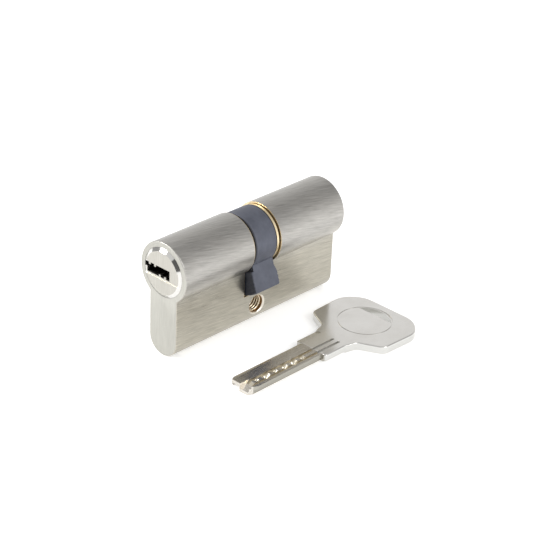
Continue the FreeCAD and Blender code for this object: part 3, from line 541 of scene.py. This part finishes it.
def coil_springs():
    """Springs under the driver pins: copies of the CAD springs, with their shape and finish, carried
    by the housing.
    """
    for side in SIDES:
        for place in range(1, PINS_PER_SIDE + 1):
            node = f"{side}_spring_{place}"
            coil = bpy.data.objects.new(f"{side}_coil_{place}", NODES[node].data.copy())
            bpy.context.scene.collection.objects.link(coil)
            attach(coil, "housing")
            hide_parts(node)
            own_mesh(coil)


def finish_piece(name, mesh, material, body):
    """Turn a bmesh into a smooth piece that rides on a body."""
    data = bpy.data.meshes.new(name)
    mesh.to_mesh(data)
    mesh.free()
    for face in data.polygons:
        face.use_smooth = True
    piece = bpy.data.objects.new(name, data)
    bpy.context.scene.collection.objects.link(piece)
    data.materials.append(material)
    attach(piece, body)


# ---------------------------------------------------------------- stage

FLOOR_SIZE = 6.0
FLOOR_DROP = 0.02 * MM
FLOOR_GLOW = 0.38

# Surround: brightness at the horizon and from the given height upwards.
HORIZON_LEVEL = 1.05
OVERHEAD_LEVEL = 0.72
OVERHEAD_START = 0.85
# Darker cards in the surround: direction, cosines at the inner and outer edge, share of light kept.
CARDS = (
    ((0.24, -0.93, 0.22), 0.956, 0.946, 0.16),
    ((-0.96, -0.22, 0.12), 0.940, 0.905, 0.45),
    ((0.20, 0.62, 0.76), 0.97, 0.72, 0.60),
)

# Softboxes: name, direction, distance and size in metres, power in watts.
SOFTBOXES = (
    ("key_softbox", (-0.60, -0.65, 0.47), 0.9, 0.34, 5.0),
    ("fill_softbox", (0.9, 0.1, 0.75), 1.1, 0.7, 4.0),
)


def make_floor():
    """Large white table top under the housing and the key."""
    bpy.ops.mesh.primitive_plane_add(size=FLOOR_SIZE, location=(0, 0, FLOOR_LEVEL - FLOOR_DROP))
    floor = bpy.context.object
    floor.name = "floor"
    shade = Shade("white_table")
    grain = shade.noise((40.0, 40.0, 40.0), detail=2.0)
    colour = shade.grey(shade.range(grain, 0.92, 0.94))
    floor.data.materials.append(shade.metal(colour, 0.9, metallic=0.0, glow=FLOOR_GLOW))


def map_range(tree, value, low, high, at_low, at_high):
    """Brightness that goes from at_low to at_high as value goes from low to high."""
    made = tree.nodes.new("ShaderNodeMapRange")
    made.inputs["From Min"].default_value = low
    made.inputs["From Max"].default_value = high
    made.inputs["To Min"].default_value = at_low
    made.inputs["To Max"].default_value = at_high
    tree.links.new(value, made.inputs["Value"])
    return made.outputs[0]


def make_world():
    """Studio surround: pale at the horizon, greyer overhead, with three darker cards."""
    world = bpy.data.worlds.new("studio")
    bpy.context.scene.world = world
    world.use_nodes = True
    tree = world.node_tree
    tree.nodes.clear()
    outward = tree.nodes.new("ShaderNodeTexCoord").outputs["Generated"]
    spread = tree.nodes.new("ShaderNodeSeparateXYZ")
    tree.links.new(outward, spread.inputs[0])
    level = map_range(tree, spread.outputs[2], 0.0, OVERHEAD_START, HORIZON_LEVEL, OVERHEAD_LEVEL)
    for direction, inner, outer, kept in CARDS:
        dot = tree.nodes.new("ShaderNodeVectorMath")
        dot.operation = "DOT_PRODUCT"
        dot.inputs[1].default_value = Vector(direction).normalized()
        tree.links.new(outward, dot.inputs[0])
        card = map_range(tree, dot.outputs["Value"], outer, inner, 1.0, kept)
        product = tree.nodes.new("ShaderNodeMath")
        product.operation = "MULTIPLY"
        tree.links.new(level, product.inputs[0])
        tree.links.new(card, product.inputs[1])
        level = product.outputs[0]
    surround = tree.nodes.new("ShaderNodeBackground")
    tree.links.new(level, surround.inputs[0])
    surround.inputs[1].default_value = 1.0
    output = tree.nodes.new("ShaderNodeOutputWorld")
    tree.links.new(surround.outputs[0], output.inputs[0])


def make_lights():
    """Round softboxes that look at the part's origin."""
    for name, direction, distance, size, power in SOFTBOXES:
        light = bpy.data.lights.new(name, "AREA")
        light.shape = "DISK"
        light.size = size
        light.energy = power
        holder = bpy.data.objects.new(name, light)
        bpy.context.scene.collection.objects.link(holder)
        aim = Vector(direction).normalized()
        holder.location = aim * distance
        holder.rotation_mode = "QUATERNION"
        holder.rotation_quaternion = aim.to_track_quat("Z", "Y")


# Camera: where it stands round the part and its roll, in degrees; its distance from the part's
# origin and its shift to the right and up, in millimetres; its lens and sensor, in millimetres.
AZIMUTH = 43.015
ELEVATION = 27.866
ROLL = 2.42
DISTANCE = 491.885
AIM_RIGHT = 5.568
AIM_UP = -7.806
LENS = 124.39
SENSOR = 36.0


def make_camera():
    """Camera above the table, off to the right of the part's front."""
    azimuth, elevation, roll = (math.radians(a) for a in (AZIMUTH, ELEVATION, ROLL))
    back = Vector((math.sin(azimuth) * math.cos(elevation),
                   -math.cos(azimuth) * math.cos(elevation), math.sin(elevation)))
    level_right = Vector((math.cos(azimuth), math.sin(azimuth), 0))
    level_up = back.cross(level_right)
    right = level_right * math.cos(roll) + level_up * math.sin(roll)
    up = level_up * math.cos(roll) - level_right * math.sin(roll)
    data = bpy.data.cameras.new("camera")
    data.sensor_width = SENSOR
    data.lens = LENS
    data.clip_start = 0.01
    data.clip_end = 20.0
    camera = bpy.data.objects.new("camera", data)
    bpy.context.scene.collection.objects.link(camera)
    turned = Matrix((right, up, back)).transposed().to_4x4()
    place = (back * DISTANCE + right * AIM_RIGHT + up * AIM_UP) * MM
    camera.matrix_world = Matrix.Translation(place) @ turned
    bpy.context.scene.camera = camera


def main():
    """Dress the frame and light it."""
    scene = bpy.context.scene
    scene.view_settings.view_transform = "Standard"
    scene.view_settings.look = "None"
    materials = make_materials()
    assign_materials(materials)
    fixing_thread(materials["cut_brass"])
    coil_springs()
    make_floor()
    make_world()
    make_lights()
    make_camera()


main()
